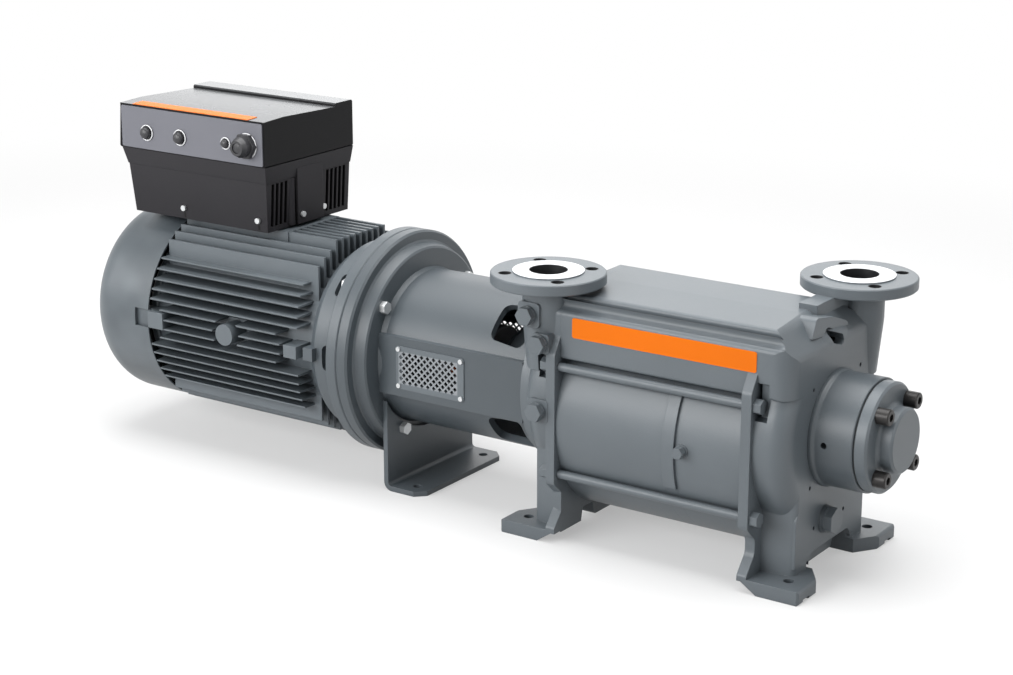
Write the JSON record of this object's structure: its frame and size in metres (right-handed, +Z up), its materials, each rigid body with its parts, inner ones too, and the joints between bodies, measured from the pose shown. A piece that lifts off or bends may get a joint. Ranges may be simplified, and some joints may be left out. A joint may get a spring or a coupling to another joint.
{
  "type": "liquid ring vacuum pump",
  "caption": "Two-stage liquid ring vacuum pump in close-coupled form with a lantern, flange motor and frequency drive.",
  "frame": {"origin": "on the floor at the centre of the pump's four foot bolt holes", "axes": "+X along the shaft towards the free end of the pump, +Z up, the motor lies towards -X"},
  "size_m": [1.3855, 0.3929, 0.5485],
  "materials": {
    "cast_paint": "semi-gloss blue-grey enamel over cast iron",
    "motor_paint": "same blue-grey enamel over die-cast aluminium",
    "sheet_paint": "same blue-grey enamel over sheet steel",
    "shaft_steel": "ground steel",
    "plate_steel": "rolled stainless steel",
    "zinc_steel": "bright zinc plating",
    "painted_plug": "same blue-grey enamel",
    "black_steel": "black oxide",
    "bronze": "cast bronze",
    "core_steel": "stacked electrical sheet",
    "copper_winding": "varnished copper wire",
    "grey_iron": "bare grey iron",
    "elastomer": "moulded elastomer",
    "seal_carbon": "carbon and ceramic seal rings",
    "valve_sheet": "white fluoropolymer sheet",
    "gasket_sheet": "flat gasket sheet",
    "fan_plastic": "moulded black plastic",
    "drive_black": "black coating over die-cast aluminium",
    "drive_lid": "dark grey moulded plastic",
    "drive_panel": "mid-grey moulded plastic",
    "board_green": "circuit board with solder mask",
    "gland_metal": "nickel-plated brass",
    "blanking_black": "black moulded plastic",
    "orange_strip": "orange film, left bare"
  },
  "bodies": {
    "static_frame": {"bearing_cover": "cast_paint", "bearing_cover_screws": "black_steel", "casing_plugs": "painted_plug", "cover_gasket": "gasket_sheet", "cowl_screws": "zinc_steel", "discharge_valve_flap": "valve_sheet", "drive_base": "drive_black", "drive_blanking_plugs": "blanking_black", "drive_board": "board_green", "drive_cover": "drive_lid", "drive_end_bearing_cover": "cast_paint", "drive_end_bearing_housing": "cast_paint", "drive_end_casing": "cast_paint", "drive_end_port_plate": "plate_steel", "drive_front_panel": "drive_panel", "drive_gland": "gland_metal", "drive_name_strip": "orange_strip", "drive_screws": "zinc_steel", "end_plug": "painted_plug", "fan_cowl": "sheet_paint", "first_stage_body": "cast_paint", "foot_bracket": "cast_paint", "free_end_bearing_housing": "cast_paint", "free_end_casing": "cast_paint", "free_end_port_plate": "plate_steel", "front_guard": "sheet_paint", "guard_screws": "zinc_steel", "interstage_plate": "cast_paint", "lantern": "cast_paint", "lantern_bolts": "zinc_steel", "lantern_ring_bolts": "zinc_steel", "motor_bearing_outer_rings": "shaft_steel", "motor_flange_bolts": "zinc_steel", "motor_flange_shield": "motor_paint", "motor_frame": "motor_paint", "motor_rear_shield": "motor_paint", "name_strip": "orange_strip", "pump_bearing_outer_rings": "shaft_steel", "rear_guard": "sheet_paint", "second_stage_body": "cast_paint", "shaft_seal_seats": "seal_carbon", "stator_core": "core_steel", "stator_windings": "copper_winding", "tie_rod_nuts": "painted_plug", "tie_rods": "painted_plug"},
    "motor_rotor": {"motor_shaft": "shaft_steel", "motor_shaft_key": "shaft_steel", "rotor_core": "core_steel", "cooling_fan": "fan_plastic", "motor_coupling_hub": "grey_iron", "motor_bearing_inner_rings": "shaft_steel"},
    "pump_rotor": {"pump_shaft": "shaft_steel", "pump_shaft_keys": "shaft_steel", "first_stage_impeller": "bronze", "second_stage_impeller": "bronze", "shaft_seal_faces": "seal_carbon", "pump_bearing_inner_rings": "shaft_steel", "pump_coupling_hub": "grey_iron", "coupling_spider": "elastomer"},
    "roller_cages": {"pump_bearing_rollers": "shaft_steel"}
  },
  "joints": [
    {"name": "motor_spin", "type": "hinge", "parent": "static_frame", "child": "motor_rotor", "pos_m": [-0.7, 0, 0.206], "axis": [1, 0, 0], "continuous": true},
    {"name": "pump_spin", "type": "hinge", "parent": "static_frame", "child": "pump_rotor", "pos_m": [0, 0, 0.206], "axis": [1, 0, 0], "continuous": true},
    {"name": "roller_cage_spin", "type": "hinge", "parent": "static_frame", "child": "roller_cages", "pos_m": [0, 0, 0.206], "axis": [1, 0, 0], "continuous": true}
  ],
  "couplings": [
    {"joint": "pump_spin", "follows": "motor_spin", "ratio": 1},
    {"joint": "roller_cage_spin", "follows": "motor_spin", "ratio": 0.43333}
  ]
}
